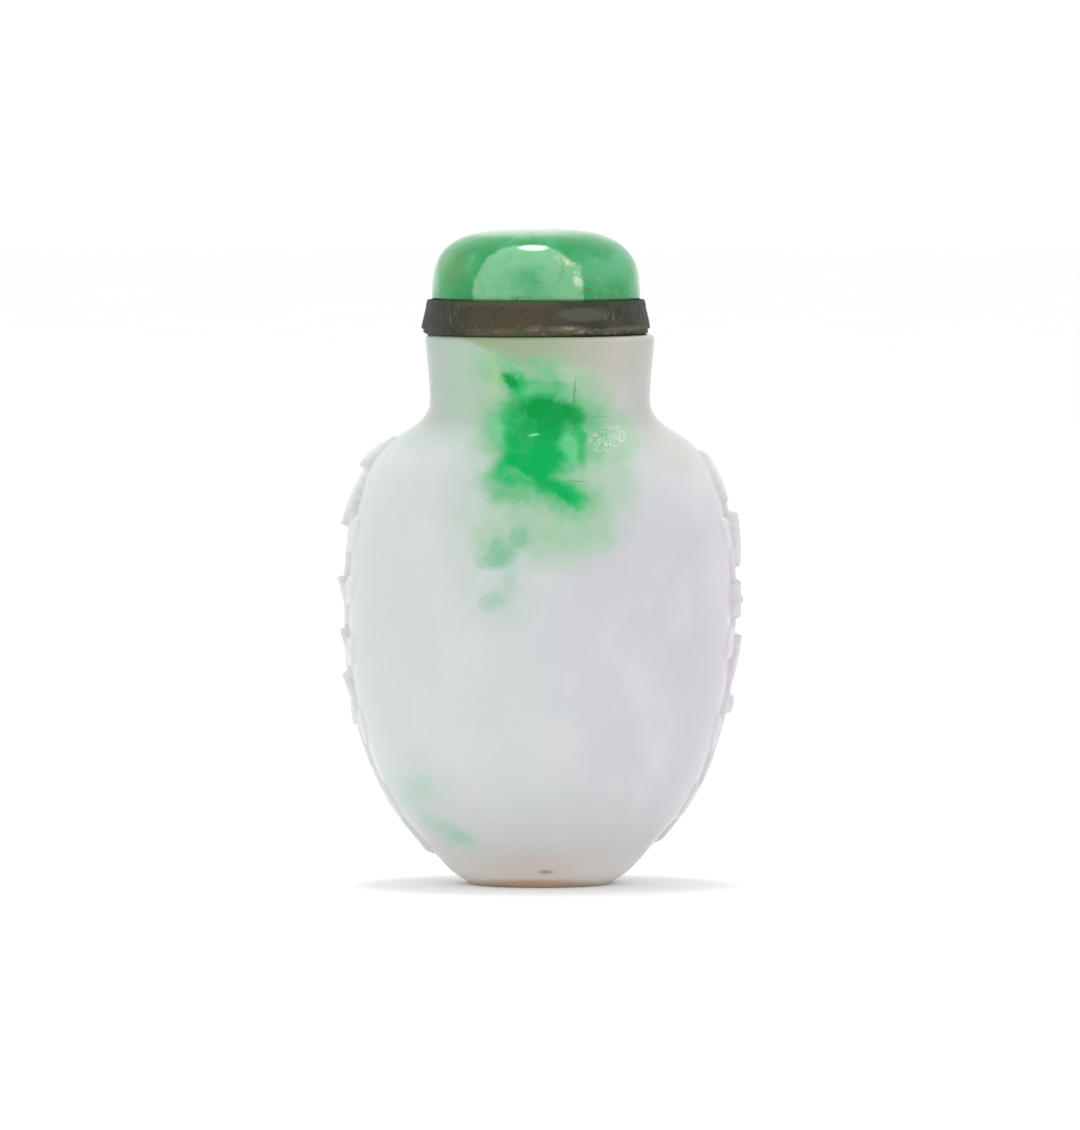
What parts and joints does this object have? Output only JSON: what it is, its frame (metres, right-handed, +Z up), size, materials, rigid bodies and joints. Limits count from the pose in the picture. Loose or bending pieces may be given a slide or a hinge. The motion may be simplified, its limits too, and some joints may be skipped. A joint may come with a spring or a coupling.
{
  "type": "snuff bottle",
  "caption": "Flattened oval jadeite snuff bottle with a wide round neck, leafy branches carved up both narrow sides, and a domed green jadeite stopper on a dark metal collar.",
  "frame": {"origin": "middle of the foot, on the surface that the bottle stands on", "axes": "+Z up through the neck; the broad plain faces look along -Y (front) and +Y; the carved narrow sides look along -X and +X"},
  "size_m": [0.0407, 0.0254, 0.0655],
  "materials": {
    "lavender_jadeite": "polished, softly translucent, pale lavender grey with emerald green splashes",
    "green_jadeite": "highly polished, translucent mottled green",
    "dark_bronze": "dark brown patina, worn and dull"
  },
  "bodies": {
    "root": {"bottle": "lavender_jadeite", "stopper_cap": "green_jadeite", "stopper_collar": "dark_bronze"}
  },
  "joints": []
}
